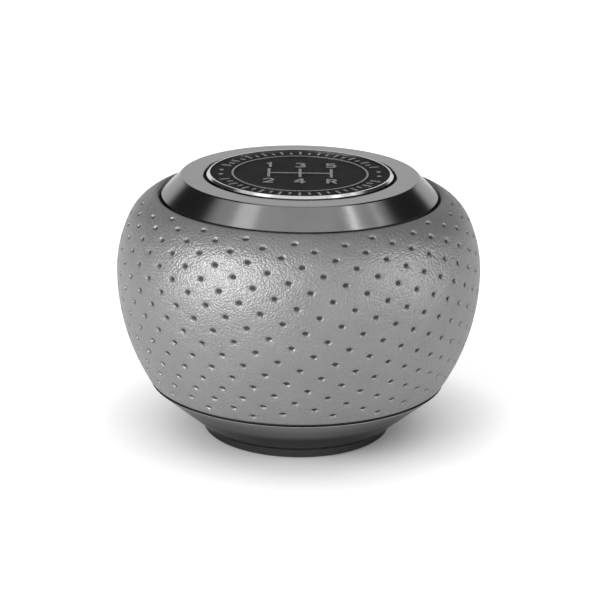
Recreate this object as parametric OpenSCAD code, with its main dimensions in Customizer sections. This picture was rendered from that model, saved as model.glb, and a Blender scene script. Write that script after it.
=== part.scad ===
// Leather-covered gear shift knob with a metal bezel, a round badge and a tapered metal collar.
// Millimetres. The origin is the centre of the resting face, +Z is up and the front faces -Y.

/* [Ball] */
// Diameter of the covered ball at its widest line
ball_d = 53; // [52:0.5:57]
// Height of the widest line above the lower edge of the cover
lower_h = 16.2; // [14:0.2:18]
// Radius of the curve below the widest line
lower_arc_r = 30.6; // [27:0.2:36]
// Radius of the curve just above the widest line
side_arc_r = 18; // [16:0.5:20]
// Angle that the curve above the widest line turns through, in degrees
side_arc_a = 25; // [20:1:30]
// Radius of the shoulder that rolls in towards the bezel
shoulder_arc_r = 7.5; // [7:0.1:9]

/* [Leather cover] */
// Thickness of the leather
leather_t = 1.2; // [1:0.1:1.6]
// Radius of the fold at the turned-in edges
fold_r = 0.6; // [0.5:0.1:0.7]
// Height of the turned-in edge beside the bezel, below its fold
hem_leg = 0.7; // [0.5:0.1:1]
// Open gap between the bezel and the cover
bezel_gap = 0.3; // [0.2:0.05:0.5]
// Diameter of one punched hole
hole_d = 0.9; // [0.6:0.1:1.2]
// Distance between holes along the rows that fall to the right
fall_pitch = 3.36; // [2.8:0.02:4.5]
// Slope of the rows that fall to the right, in degrees
fall_angle = 22.6; // [15:0.5:30]
// Distance between holes along the rows that rise to the right
rise_pitch = 2.9; // [2.6:0.02:4]
// Slope of the rows that rise to the right, in degrees
rise_angle = 49.5; // [42:0.5:56]
// Droop of the rows towards the back, as a share of the square of their way round the ball
row_droop = 0.0154; // [0:0.0002:0.03]
// First hole, to the right of the front centre line
first_hole_right = 1.07; // [0:0.01:3]
// First hole, below the widest line
first_hole_down = 1.17; // [0:0.01:3]
// Least distance from a hole's centre to the edge of the cover
hole_margin = 0.8; // [0.8:0.1:2]
// Least distance from a hole's centre to the seam at the back
seam_margin = 1.4; // [1:0.1:3]
// Width of the groove along the seam at the back
seam_w = 0.3; // [0.2:0.05:0.5]
// Depth of the groove along the seam at the back
seam_depth = 0.35; // [0.2:0.05:0.5]

/* [Backing pad] */
// Thickness of the soft pad under the leather
pad_t = 1; // [0.6:0.1:1.4]
// Distance from the turned-in edges to the edge of the pad
pad_margin = 1.6; // [1.2:0.1:2.4]

/* [Bezel] */
// Radius of the flat top of the bezel
bezel_flat_r = 17.2; // [16.4:0.1:17.4]
// Width and height of the wide chamfer round the bezel
bezel_chamfer = 2.8; // [2.4:0.1:3]
// Height of the upright edge below the chamfer
bezel_edge_h = 1.3; // [1:0.1:2]
// Small break on the bezel's sharp edges
edge_break = 0.12; // [0.05:0.01:0.2]
// Radius of the recess that holds the badge
recess_r = 13.95; // [13.7:0.05:14.5]
// Depth of the recess that holds the badge
recess_depth = 2; // [1.8:0.1:2.2]
// Radius of the spigot that centres the bezel
spigot_r = 12; // [11.6:0.1:12.4]
// Height of the spigot that centres the bezel
spigot_h = 2; // [1.5:0.1:2.4]

/* [Badge] */
// Radius of the badge plate
badge_r = 13.5; // [13.2:0.05:13.6]
// Width of the bright rim of the badge
rim_w = 0.5; // [0.3:0.05:0.7]
// Height of the rim above the bezel
rim_rise = 0.35; // [0.2:0.05:0.5]
// Width and height of the bevel round the rim
rim_bevel = 0.3; // [0.15:0.05:0.4]
// Depth of the enamel below the top of the rim
enamel_drop = 0.25; // [0.15:0.05:0.35]
// Thickness of the enamel
enamel_t = 0.5; // [0.3:0.05:0.6]
// Height of the raised lines above the enamel
line_rise = 0.12; // [0.05:0.01:0.15]
// Thickness of the adhesive pad under the badge
adhesive_t = 0.4; // [0.2:0.05:0.6]
// Radius of the adhesive pad under the badge
adhesive_r = 12.5; // [11.5:0.1:13]
// Radius of the raised ring line
ring_line_r = 9.75; // [9.3:0.05:10]
// Width of the raised ring line
ring_line_w = 0.3; // [0.2:0.05:0.4]
// Width of the strokes of the shift diagram
stroke_w = 0.42; // [0.3:0.02:0.5]
// Distance between the gates of the shift diagram
gate_pitch = 4.5; // [3.6:0.1:5]
// Length of each arm of the shift diagram
gate_arm = 2.3; // [1.8:0.1:2.6]
// Height of the numerals
numeral_h = 2.4; // [1.8:0.1:2.6]
// Gap between an arm and its numeral
numeral_gap = 0.9; // [0.7:0.05:1.1]
// Inner radius of the graduation ticks
tick_r = 10.7; // [10.5:0.05:11]
// Length of a long graduation tick
tick_l = 1.5; // [1.1:0.1:1.7]
// Length of a short graduation tick
short_tick_l = 0.9; // [0.6:0.1:1]
// Width of a graduation tick
tick_w = 0.36; // [0.24:0.02:0.44]
// Angle between graduation ticks, in degrees
tick_step = 7; // [5:1:9]
// Angle from the badge's sides to the first tick, in degrees
tick_start = 20; // [15:1:30]
// Diameter of the dots at the sides of the badge
dot_d = 0.7; // [0.5:0.05:0.9]
// Angle between a dot and the badge's side, in degrees
dot_angle = 6; // [4:0.5:9]

/* [Moulded shells] */
// Wall of the moulded shells
wall = 3; // [2.4:0.1:3.4]
// Thickness of the roof that carries the bezel
roof_t = 4.4; // [4:0.1:4.8]
// Thickness of the floor that carries the hub
floor_t = 3.5; // [3:0.1:4]
// Width of the step between the edge of the cover and the foot that stands on the collar
foot_step = 2.65; // [2.45:0.05:3]
// Thickness of the lip that joins the two shells
lip_t = 1.4; // [1.1:0.1:1.6]
// Height of the lip that joins the two shells
lip_h = 1.8; // [1.4:0.1:2.4]
// Radius of the screw posts
post_r = 2.4; // [2.1:0.1:2.5]
// Distance from the axis to the screw posts
post_pitch_r = 16; // [15.8:0.1:16.4]
// Radius of the bosses for the bezel screws
boss_r = 3; // [2.6:0.1:3.2]
// Length of the bosses for the bezel screws, below the roof
boss_h = 2.6; // [2:0.1:3]

/* [Hub] */
// Radius of the hub
hub_r = 11.5; // [10:0.1:12]
// Radius of the hub's flange
hub_flange_r = 13; // [12.8:0.1:13.2]
// Thickness of the hub's flange
hub_flange_t = 3; // [2.6:0.1:3.4]
// Height of the hub, with its flange
hub_h = 15; // [14.4:0.1:15.2]
// Thickness of the hub's closed end
hub_cap_t = 2; // [1.6:0.1:2.6]
// Radius of the thread between the hub and the adapter
adapter_r = 7; // [6.6:0.1:7.2]

/* [Lever thread] */
// Radius of the lever hole, at the crests of its thread
lever_hole_r = 4.375; // [3.8:0.005:5]
// Chamfer at the mouth of the lever hole
mouth_chamfer = 0.6; // [0.4:0.1:0.8]
// Height of the adapter's lower end above the resting face
adapter_lift = 1; // [0.6:0.1:1.6]
// Width of the driver slot in the adapter
slot_w = 2; // [1.6:0.1:2.6]
// Depth of the driver slot in the adapter
slot_depth = 1.2; // [0.8:0.1:1.6]

/* [Collar] */
// Height of the collar
collar_h = 7.9; // [7.4:0.1:8.6]
// Radius of the neck at the foot of the collar
neck_r = 13.8; // [13.4:0.1:14.2]
// Height at which the taper meets the neck
neck_h = 1.1; // [0.9:0.1:1.4]
// Radius of the hollow between the taper and the neck
neck_fillet = 1.4; // [0.6:0.1:1.6]
// Rounding of the foot's outer edge
foot_edge_r = 0.5; // [0.3:0.05:0.6]
// Height of the dark gap between the collar and the cover
gap_h = 0.3; // [0.2:0.05:0.5]
// Depth of the gap ring behind the edge of the cover
gap_ring_inset = 0.5; // [0.3:0.05:0.8]

/* [Screws] */
// Number of screws in each circle
screw_count = 3; // [3:1:3]
// Radius of the bezel screws' shank
bezel_screw_r = 1.5; // [1.2:0.05:1.6]
// Radius of the bezel screws' countersunk head
bezel_head_r = 2.75; // [2.5:0.05:2.9]
// Length of the bezel screws
bezel_screw_l = 8; // [7:0.5:8.5]
// Distance from the axis to the bezel screws
bezel_screw_pitch_r = 8.5; // [7.5:0.1:8.6]
// Radius of the collar and shell screws' shank
small_screw_r = 1.25; // [1:0.05:1.3]
// Radius of the collar and shell screws' head
small_head_r = 2.05; // [1.9:0.05:2.1]
// Height of the collar screws' head
collar_head_h = 2.5; // [2:0.1:2.6]
// Depth of the collar screws' counterbore
collar_bore_depth = 3; // [2.8:0.1:3.4]
// Length of the collar screws
collar_screw_l = 10; // [9:0.5:10.5]
// Distance from the axis to the collar screws
collar_screw_pitch_r = 10.3; // [10.1:0.1:10.5]
// Height of the shell screws' head
shell_head_h = 1.6; // [1.2:0.1:2]
// Depth of the shell screws' counterbore
shell_bore_depth = 2.4; // [2.2:0.1:2.8]
// Length of the shell screws
shell_screw_l = 18; // [17:0.5:19]
// Width across the flats of the screws' hexagon sockets
socket_af = 2; // [1.5:0.1:2]
// Depth of the screws' hexagon sockets
socket_depth = 1.1; // [0.8:0.1:1.2]

/* [Clearances] */
// Clearance between rigid pieces that fit into each other
fit_gap = 0.1; // [0.06:0.01:0.14]
// Glue line between the skins of the ball
skin_gap = 0.1; // [0.05:0.01:0.15]
// Clearance at the ends of screws and of the adapter
end_gap = 0.5; // [0.3:0.1:0.8]

/* [Hidden] */
$fn = 96;
// Larger than any half-width or height of the knob
big = 100;
// How far a cutting shape runs past the face that it cuts
over = 0.2;
// Straight stretches that stand for the three curves of the ball's outline
lower_steps = 8;
side_steps = 3;
shoulder_steps = 6;
// Straight stretches that stand for a small rounding
corner_steps = 6;

ball_r = ball_d / 2;
cover_z = collar_h + gap_h;
equator_z = cover_z + lower_h;

// Centres of the three curves of the ball's outline, as radius and height
lower_c = [ball_r - lower_arc_r, equator_z];
side_c = [ball_r - side_arc_r, equator_z];
shoulder_c = side_c + (side_arc_r - shoulder_arc_r) * [cos(side_arc_a), sin(side_arc_a)];

// Radius of the ball's section below the widest line, at height z
function lower_r(inset, z) = lower_c[0] + sqrt(pow(lower_arc_r - inset, 2) - pow(z - equator_z, 2));
// Radius of the ball's section on the shoulder, at height z
function shoulder_r(inset, z) =
    shoulder_c[0] + sqrt(pow(shoulder_arc_r - inset, 2) - pow(z - shoulder_c[1], 2));

// Bezel, and the fold of the cover beside it
bezel_r = bezel_flat_r + bezel_chamfer;
top_fold_r = bezel_r + bezel_gap + fold_r;
top_fold_z = shoulder_c[1] + sqrt(pow(shoulder_arc_r - fold_r, 2) - pow(top_fold_r - shoulder_c[0], 2));
top_fold = [top_fold_r, top_fold_z];
land_z = top_fold_z - hem_leg;
bezel_top_z = land_z + bezel_edge_h + bezel_chamfer;
recess_z = bezel_top_z - recess_depth;

// Fold of the cover above the collar
low_fold_z = cover_z + fold_r;
low_fold = [lower_r(fold_r, low_fold_z), low_fold_z];
cover_edge_r = lower_r(0, cover_z);
foot_r = cover_edge_r - foot_step;

// Heights inside the ball
skin_inset = leather_t + skin_gap;
pad_inset = skin_inset + pad_t + skin_gap;
shell_bottom_z = cover_z + leather_t + skin_gap;
pad_low_z = shell_bottom_z + pad_margin;
pad_high_z = land_z - pad_margin;
roof_z = land_z - roof_t;
floor_z = collar_h + floor_t;
hub_top_z = floor_z + hub_h;
hub_bore_top_z = hub_top_z - hub_cap_t;
adapter_top_z = hub_bore_top_z - end_gap;

// Badge heights
rim_z = bezel_top_z + rim_rise;
enamel_z = rim_z - enamel_drop;
plate_z = enamel_z - enamel_t;
line_z = enamel_z + line_rise;
badge_low_z = recess_z + adhesive_t;
field_r = badge_r - rim_w;

// The screw circles: the shell screws stand between the collar screws
bezel_screw_a = 30;
collar_screw_a = 90;
shell_screw_a = 30;
collar_seat_z = collar_bore_depth;
shell_seat_z = collar_h + shell_bore_depth;
hex_corner_r = socket_af / 2 / cos(30);

// The height at which a wall of the ball's section stands, as distance along the outline from the
// widest line, positive downwards: gives radius, height and the angle of the surface normal
function surface_at(down) =
    let (side_l = side_arc_r * side_arc_a * PI / 180)
    down > 0 ? let (a = -down / lower_arc_r * 180 / PI)
        [lower_c[0] + lower_arc_r * cos(a), lower_c[1] + lower_arc_r * sin(a), a]
    : -down < side_l ? let (a = -down / side_arc_r * 180 / PI)
        [side_c[0] + side_arc_r * cos(a), side_c[1] + side_arc_r * sin(a), a]
    : let (a = side_arc_a + (-down - side_l) / shoulder_arc_r * 180 / PI)
        [shoulder_c[0] + shoulder_arc_r * cos(a), shoulder_c[1] + shoulder_arc_r * sin(a), a];

// Distance along the outline from the widest line to the two edges of the cover
cover_down = lower_arc_r * asin((equator_z - low_fold_z) / (lower_arc_r - fold_r)) * PI / 180;
top_fold_a = atan2(top_fold_z - shoulder_c[1], top_fold_r - shoulder_c[0]);
cover_up = (side_arc_r * side_arc_a + shoulder_arc_r * (top_fold_a - side_arc_a)) * PI / 180;
half_turn = PI * ball_r;

// Steps of the punched pattern on the flat hide: to the right, and down
fall_step = fall_pitch * [cos(fall_angle), sin(fall_angle)];
rise_step = rise_pitch * [cos(rise_angle), -sin(rise_angle)];
reach = ceil((half_turn + cover_down + cover_up) / min(fall_pitch, rise_pitch));
HOLES = [
    for (i = [-reach : reach]) for (j = [-reach : reach])
    let (right = first_hole_right + i * fall_step[0] + j * rise_step[0])
    let (flat_down = first_hole_down + i * fall_step[1] + j * rise_step[1])
    let (down = flat_down + row_droop * right * right / ball_r)
    if (abs(right) < half_turn - seam_margin && down < cover_down - hole_margin && -down < cover_up - hole_margin)
    [right / ball_r * 180 / PI, down]
];

// Points along an arc from angle a0 to a1, without its first point
function arc(centre, r, a0, a1, steps) =
    [for (k = [1 : steps]) let (a = a0 + (a1 - a0) * k / steps) centre + r * [cos(a), sin(a)]];

// Half section of the solid ball, a given distance inside its outer surface, from the collar up
module ball_section(inset) {
    low_a = -asin((equator_z - collar_h) / (lower_arc_r - inset));
    top_z = shoulder_c[1] + shoulder_arc_r - inset;
    polygon(concat(
        [[0, collar_h], [lower_r(inset, collar_h), collar_h]],
        arc(lower_c, lower_arc_r - inset, low_a, 0, lower_steps),
        arc(side_c, side_arc_r - inset, 0, side_arc_a, side_steps),
        arc(shoulder_c, shoulder_arc_r - inset, side_arc_a, 90, shoulder_steps),
        [[0, top_z]]
    ));
}

// The wall between two insets of the ball's section
module skin_section(outer, inner) {
    difference() {
        ball_section(outer);
        ball_section(inner);
    }
}

// A rectangle between two corners
module block(low, high) {
    translate(low) square(high - low);
}

// Puts its children on a screw circle, at one of its places
module on_circle(pitch_r, first_a, k) {
    rotate([0, 0, first_a + k * 360 / screw_count]) translate([pitch_r, 0, 0]) children();
}

// Puts its children on every place of a screw circle
module all_round(pitch_r, first_a) {
    for (k = [0 : screw_count - 1]) on_circle(pitch_r, first_a, k) children();
}

// A hole or shank between two heights
module rod(r, low_z, high_z) {
    translate([0, 0, low_z]) cylinder(r = r, h = high_z - low_z);
}

// Half section of the leather, with both edges folded in
module cover_section() {
    intersection() {
        skin_section(0, leather_t);
        union() {
            block([0, low_fold_z], [big, equator_z]);
            block([top_fold_r, equator_z], [big, big]);
        }
    }
    translate(top_fold) circle(fold_r);
    block([top_fold_r - fold_r, land_z], [shoulder_r(leather_t, land_z) + over, top_fold_z]);
    translate(low_fold) circle(fold_r);
    block([foot_r + fit_gap, cover_z], [low_fold[0], cover_z + leather_t]);
}

module punched_holes() {
    for (h = HOLES) {
        p = surface_at(h[1]);
        rotate([0, 0, h[0] - 90]) translate([p[0], 0, p[1]]) rotate([0, 90 - p[2], 0])
            rod(hole_d / 2, -leather_t - over, over);
    }
}

// The groove where the two ends of the hide meet
module seam_groove() {
    difference() {
        translate([-seam_w / 2, 0, cover_z + leather_t]) cube([seam_w, big, top_fold_z - cover_z - leather_t]);
        rotate_extrude() ball_section(seam_depth);
    }
}

module leather_cover() {
    color([0.56, 0.56, 0.56]) difference() {
        rotate_extrude() cover_section();
        punched_holes();
        seam_groove();
    }
}

module backing_pad() {
    color([0.08, 0.08, 0.08]) rotate_extrude() intersection() {
        skin_section(skin_inset, skin_inset + pad_t);
        block([0, pad_low_z], [big, pad_high_z]);
    }
}

// Half section of both shells' outer form, with the pocket that the pad lies in
module shell_section() {
    difference() {
        intersection() {
            ball_section(skin_inset);
            block([0, shell_bottom_z], [big, land_z]);
        }
        intersection() {
            skin_section(skin_inset - over, pad_inset);
            block([0, pad_low_z - fit_gap], [big, pad_high_z + fit_gap]);
        }
    }
}

// Half section of the hollow inside the shells
module cavity_section() {
    intersection() {
        ball_section(pad_inset + wall);
        block([0, floor_z], [big, roof_z]);
    }
}

lip_r = ball_r - pad_inset - wall + lip_t;

module upper_shell() {
    color([0.2, 0.2, 0.21]) difference() {
        union() {
            rotate_extrude() {
                intersection() {
                    difference() {
                        shell_section();
                        cavity_section();
                    }
                    block([0, equator_z], [big, land_z]);
                }
                block([lip_r - lip_t, equator_z - lip_h], [lip_r, equator_z + over]);
            }
            all_round(post_pitch_r, shell_screw_a) rod(post_r, equator_z + fit_gap, roof_z + over);
            all_round(bezel_screw_pitch_r, bezel_screw_a) rod(boss_r, roof_z - boss_h, roof_z + over);
        }
        rod(spigot_r + fit_gap, land_z - spigot_h - fit_gap, land_z + over);
        all_round(bezel_screw_pitch_r, bezel_screw_a)
            rod(bezel_screw_r + fit_gap, recess_z - bezel_screw_l - end_gap, land_z);
        all_round(post_pitch_r, shell_screw_a)
            rod(small_screw_r + fit_gap, equator_z, shell_seat_z + shell_screw_l + end_gap);
    }
}

module lower_shell() {
    color([0.2, 0.2, 0.21]) difference() {
        union() {
            rotate_extrude() {
                intersection() {
                    difference() {
                        shell_section();
                        cavity_section();
                    }
                    block([0, shell_bottom_z], [big, equator_z]);
                }
                block([0, collar_h], [foot_r, shell_bottom_z + over]);
            }
            all_round(post_pitch_r, shell_screw_a) rod(post_r, floor_z - over, equator_z);
        }
        rotate_extrude()
            block([lip_r - lip_t - over, equator_z - lip_h - fit_gap], [lip_r + fit_gap, equator_z + over]);
        rod(adapter_r + fit_gap, collar_h - over, floor_z + over);
        all_round(collar_screw_pitch_r, collar_screw_a)
            rod(small_screw_r + fit_gap, collar_h - over, floor_z + over);
        all_round(post_pitch_r, shell_screw_a) {
            rod(small_screw_r + fit_gap, collar_h - over, equator_z + over);
            rod(small_head_r + fit_gap, collar_h - over, shell_seat_z);
        }
    }
}

module top_bezel() {
    color([0.62, 0.62, 0.62]) difference() {
        rotate_extrude() polygon([
            [0, land_z - spigot_h],
            [spigot_r, land_z - spigot_h],
            [spigot_r, land_z],
            [bezel_r - edge_break, land_z],
            [bezel_r, land_z + edge_break],
            [bezel_r, land_z + bezel_edge_h],
            [bezel_flat_r + edge_break, bezel_top_z - edge_break],
            [bezel_flat_r - edge_break, bezel_top_z],
            [recess_r + edge_break, bezel_top_z],
            [recess_r, bezel_top_z - edge_break],
            [recess_r, recess_z],
            [0, recess_z]
        ]);
        all_round(bezel_screw_pitch_r, bezel_screw_a) {
            rod(bezel_screw_r + fit_gap, land_z - spigot_h - over, bezel_top_z);
            countersink(fit_gap);
        }
    }
}

// The cone under a countersunk head, flush with the floor of the recess
module countersink(gap) {
    cone_h = bezel_head_r - bezel_screw_r;
    translate([0, 0, recess_z - cone_h]) cylinder(r1 = bezel_screw_r + gap, r2 = bezel_head_r + gap, h = cone_h);
}

module hex_socket(low_z) {
    translate([0, 0, low_z]) cylinder(r = hex_corner_r, h = socket_depth + over, $fn = 6);
}

module bezel_screw(k) {
    color([0.25, 0.25, 0.26]) on_circle(bezel_screw_pitch_r, bezel_screw_a, k) difference() {
        union() {
            rod(bezel_screw_r, recess_z - bezel_screw_l, recess_z - bezel_head_r + bezel_screw_r);
            countersink(0);
        }
        hex_socket(recess_z - socket_depth);
    }
}

// A screw with a round head below and its shank upwards
module cap_screw(seat_z, head_h, shank_l) {
    difference() {
        union() {
            rod(small_head_r, seat_z - head_h, seat_z);
            rod(small_screw_r, seat_z - over, seat_z + shank_l);
        }
        hex_socket(seat_z - head_h - over);
    }
}

module collar_screw(k) {
    color([0.25, 0.25, 0.26]) on_circle(collar_screw_pitch_r, collar_screw_a, k)
        cap_screw(collar_seat_z, collar_head_h, collar_screw_l);
}

module shell_screw(k) {
    color([0.25, 0.25, 0.26]) on_circle(post_pitch_r, shell_screw_a, k)
        cap_screw(shell_seat_z, shell_head_h, shell_screw_l);
}

module hub() {
    color([0.5, 0.5, 0.52]) difference() {
        union() {
            rod(hub_flange_r, floor_z, floor_z + hub_flange_t);
            rod(hub_r, floor_z + hub_flange_t - over, hub_top_z);
        }
        rod(adapter_r + fit_gap, floor_z - over, hub_bore_top_z);
        all_round(collar_screw_pitch_r, collar_screw_a)
            rod(small_screw_r + fit_gap, floor_z - over, collar_seat_z + collar_screw_l + end_gap);
    }
}

module thread_adapter() {
    color([0.68, 0.68, 0.69]) difference() {
        rod(adapter_r, adapter_lift, adapter_top_z);
        rod(lever_hole_r, adapter_lift - over, adapter_top_z + over);
        translate([0, 0, adapter_lift - over])
            cylinder(r1 = lever_hole_r + mouth_chamfer + over, r2 = lever_hole_r, h = mouth_chamfer + over);
        translate([-big / 2, -slot_w / 2, adapter_lift - over]) cube([big, slot_w, slot_depth + over]);
    }
}

module gap_ring() {
    color([0.03, 0.03, 0.03]) difference() {
        rod(cover_edge_r - gap_ring_inset, collar_h, cover_z);
        rod(foot_r + fit_gap, collar_h - over, cover_z + over);
    }
}

// The taper's direction, and the centre of the hollow that leads it into the neck
taper = [cover_edge_r - neck_r, collar_h - neck_h];
taper_a = atan2(taper[1], taper[0]);
hollow_turn = 90 - taper_a;
hollow_c = [neck_r + neck_fillet, neck_h - neck_fillet * tan(hollow_turn / 2)];

module lower_collar() {
    color([0.3, 0.3, 0.31]) difference() {
        rotate_extrude() polygon(concat(
            [[0, 0]],
            [[neck_r - foot_edge_r, 0]],
            arc([neck_r - foot_edge_r, foot_edge_r], foot_edge_r, -90, 0, corner_steps),
            arc(hollow_c, neck_fillet, 180, 90 + taper_a, corner_steps),
            [[cover_edge_r - edge_break, collar_h - edge_break * tan(taper_a)]],
            [[cover_edge_r - edge_break, collar_h], [0, collar_h]]
        ));
        rod(adapter_r + fit_gap, -over, collar_h + over);
        all_round(collar_screw_pitch_r, collar_screw_a) {
            rod(small_screw_r + fit_gap, -over, collar_h + over);
            rod(small_head_r + fit_gap, -over, collar_bore_depth);
        }
    }
}

// Unit direction of stretch k of a line of points
function heading(points, k) = (points[k + 1] - points[k]) / norm(points[k + 1] - points[k]);

// Half the stroke's width, square to the line at point k, lengthened at a corner to keep the width
function half_width(points, k) =
    let (last = len(points) - 1)
    let (before = heading(points, max(k - 1, 0)))
    let (after = heading(points, min(k, last - 1)))
    [-before[1] - after[1], before[0] + after[0]] * stroke_w / 2 / (1 + before * after);

// A line of points drawn as a stroke of even width with square ends
module stroke(points) {
    ks = [for (k = [0 : len(points) - 1]) k];
    polygon(concat(
        [for (k = ks) points[k] + half_width(points, k)],
        [for (k = ks) let (m = len(points) - 1 - k) points[m] - half_width(points, m)]
    ));
}

// Part of an ellipse between two angles, as points for strokes
function bow(c, r, a0, a1) =
    [for (k = [0 : corner_steps]) let (a = a0 + (a1 - a0) * k / corner_steps) c + [r[0] * cos(a), r[1] * sin(a)]];

// Numerals one unit high and about 0.6 wide, drawn about their own middle: a list of lines each
function numeral(n) =
    n == 1 ? [[[-0.16, 0.26], [0.06, 0.46], [0.06, -0.5]]]
    : n == 2 ? [concat(bow([0, 0.22], [0.27, 0.26], 165, -35), [[-0.26, -0.42]]), [[-0.32, -0.4], [0.3, -0.4]]]
    : n == 3 ? [bow([0, 0.23], [0.24, 0.23], 160, -90), bow([0, -0.22], [0.28, 0.24], 90, -160)]
    : n == 4 ? [[[0.12, -0.5], [0.12, 0.5]], [[0.06, 0.46], [-0.28, -0.16]], [[-0.34, -0.2], [0.34, -0.2]]]
    : n == 5 ? [[[0.26, 0.4], [-0.2, 0.4], [-0.22, 0.02]], bow([-0.02, -0.17], [0.28, 0.28], 140, -155)]
    : [[[-0.22, -0.5], [-0.22, 0.5]], concat([[-0.24, 0.4]], bow([0.02, 0.2], [0.22, 0.2], 90, -90), [[-0.24, 0]]),
        [[0, 0.02], [0.28, -0.5]]];

module numeral_at(n, place) {
    for (line = numeral(n)) stroke([for (p = line) place + p * numeral_h]);
}

// A plain shift diagram: forward gears in the gates, reverse in the last place
module shift_diagram() {
    reach_y = gate_arm + numeral_gap + numeral_h / 2;
    stroke([[-gate_pitch, 0], [gate_pitch, 0]]);
    for (k = [-1 : 1]) {
        stroke([[k * gate_pitch, -gate_arm], [k * gate_pitch, gate_arm]]);
        numeral_at(2 * k + 3, [k * gate_pitch, reach_y]);
        numeral_at(2 * k + 4, [k * gate_pitch, -reach_y]);
    }
}

// Ticks and dots in the band between the ring line and the rim
module graduation() {
    count = floor((180 - 2 * tick_start) / tick_step);
    first = 90 - count * tick_step / 2;
    for (half = [0, 180]) {
        for (k = [0 : count])
            rotate(half + first + k * tick_step)
                translate([tick_r, -tick_w / 2]) square([k % 2 == 0 ? tick_l : short_tick_l, tick_w]);
        for (side = [-1, 1])
            rotate(half + side * dot_angle)
                translate([tick_r + tick_l / 2, 0]) circle(d = dot_d, $fn = 32);
    }
}

module badge_plate() {
    color([0.55, 0.55, 0.55]) {
        rotate_extrude() polygon([
            [0, badge_low_z],
            [badge_r, badge_low_z],
            [badge_r, rim_z - rim_bevel],
            [badge_r - rim_bevel, rim_z],
            [field_r, rim_z],
            [field_r, plate_z],
            [0, plate_z]
        ]);
        translate([0, 0, plate_z - over]) linear_extrude(line_z - plate_z + over) {
            difference() {
                circle(ring_line_r + ring_line_w / 2);
                circle(ring_line_r - ring_line_w / 2);
            }
            shift_diagram();
            graduation();
        }
    }
}

module badge_enamel_center() {
    color([0.06, 0.06, 0.06]) translate([0, 0, plate_z]) linear_extrude(enamel_t) difference() {
        circle(ring_line_r - ring_line_w / 2);
        shift_diagram();
    }
}

module badge_enamel_band() {
    color([0.06, 0.06, 0.06]) translate([0, 0, plate_z]) linear_extrude(enamel_t) difference() {
        circle(field_r);
        circle(ring_line_r + ring_line_w / 2);
        graduation();
    }
}

module badge_adhesive() {
    color([0.8, 0.8, 0.78]) rod(adhesive_r, recess_z, badge_low_z);
}

badge_plate();
badge_enamel_center();
badge_enamel_band();
badge_adhesive();
top_bezel();
bezel_screw(0);  // bezel_screw_1
bezel_screw(1);  // bezel_screw_2
bezel_screw(2);  // bezel_screw_3
leather_cover();
backing_pad();
upper_shell();
lower_shell();
shell_screw(0);  // shell_screw_1
shell_screw(1);  // shell_screw_2
shell_screw(2);  // shell_screw_3
hub();
thread_adapter();
gap_ring();
lower_collar();
collar_screw(0);  // collar_screw_1
collar_screw(1);  // collar_screw_2
collar_screw(2);  // collar_screw_3
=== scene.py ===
# %% [markdown]
# # A leather gear knob
# This notebook dresses the CAD model of a gear knob. The CAD model is exact and stays where it is.
# Blender adds what a CAD solid has no words for: the rolled edge of each punched hole, the grain of
# the hide, the turned metal, and a light and a camera like those of a product photograph.

# %% Load the frame
from math import asin, atan2, ceil, cos, pi, radians, sin, sqrt

import bmesh
import bpy
from mathutils import Matrix, Quaternion, Vector


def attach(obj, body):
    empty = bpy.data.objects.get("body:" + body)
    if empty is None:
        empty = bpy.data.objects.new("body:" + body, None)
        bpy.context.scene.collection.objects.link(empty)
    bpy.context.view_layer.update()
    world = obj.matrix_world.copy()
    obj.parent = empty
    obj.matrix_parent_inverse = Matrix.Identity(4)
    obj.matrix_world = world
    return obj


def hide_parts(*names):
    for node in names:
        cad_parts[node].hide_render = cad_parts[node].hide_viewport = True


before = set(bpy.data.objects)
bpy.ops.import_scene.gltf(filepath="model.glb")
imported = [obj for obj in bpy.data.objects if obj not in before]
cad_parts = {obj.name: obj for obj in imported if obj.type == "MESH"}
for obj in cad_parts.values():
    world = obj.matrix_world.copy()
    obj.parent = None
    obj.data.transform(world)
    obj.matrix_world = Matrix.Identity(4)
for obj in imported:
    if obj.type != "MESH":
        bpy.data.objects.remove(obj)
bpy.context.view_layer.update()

MM = 0.001

# %% [markdown]
# ## The camera
# The photograph was taken with a long lens from a little above. Its angle and distance were worked out
# from the ellipses of the rings: circles on one axis shrink with distance in a way that fits only one
# camera. A camera may be aimed with a constraint, but plain numbers are easier to check, so the aim is
# a turn about X and a small roll, and the picture's centre is moved with a very small lens shift.

# %% Place the camera
CAMERA_RISE = radians(17.95)
CAMERA_DISTANCE = 322 * MM
CAMERA_ROLL = radians(0.89)
AIM_HEIGHT = 21 * MM
LENS = 131.6
SENSOR = 36.0
LENS_SHIFT = (0.0029, -0.0172)
NEAREST, FARTHEST = 0.01, 10


def place_camera():
    """A long lens in front of the knob and a little above it."""
    data = bpy.data.cameras.new("camera")
    data.lens = LENS
    data.sensor_width = SENSOR
    data.shift_x, data.shift_y = LENS_SHIFT
    data.clip_start, data.clip_end = NEAREST, FARTHEST
    camera = bpy.data.objects.new("camera", data)
    bpy.context.scene.collection.objects.link(camera)
    back = Vector((0, -cos(CAMERA_RISE), sin(CAMERA_RISE)))
    camera.location = Vector((0, 0, AIM_HEIGHT)) + back * CAMERA_DISTANCE
    turn = Quaternion((1, 0, 0), pi / 2 - CAMERA_RISE)
    camera.rotation_mode = "QUATERNION"
    camera.rotation_quaternion = turn @ Quaternion((0, 0, 1), CAMERA_ROLL)
    bpy.context.scene.camera = camera
    return camera


camera = place_camera()
print("camera stands at", [round(v, 4) for v in camera.location])

# %% [markdown]
# ## Helpers for shader nodes
# Every finish here is made of a few nodes: a pattern in the object's own coordinates, a ramp that
# turns it into colour or roughness, and a bump. A short helper adds one node and joins it up, which
# keeps each finish readable as a list of steps. The same helper builds the world's nodes.


# %% Node helpers
def grey(value):
    return (value, value, value)


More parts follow.
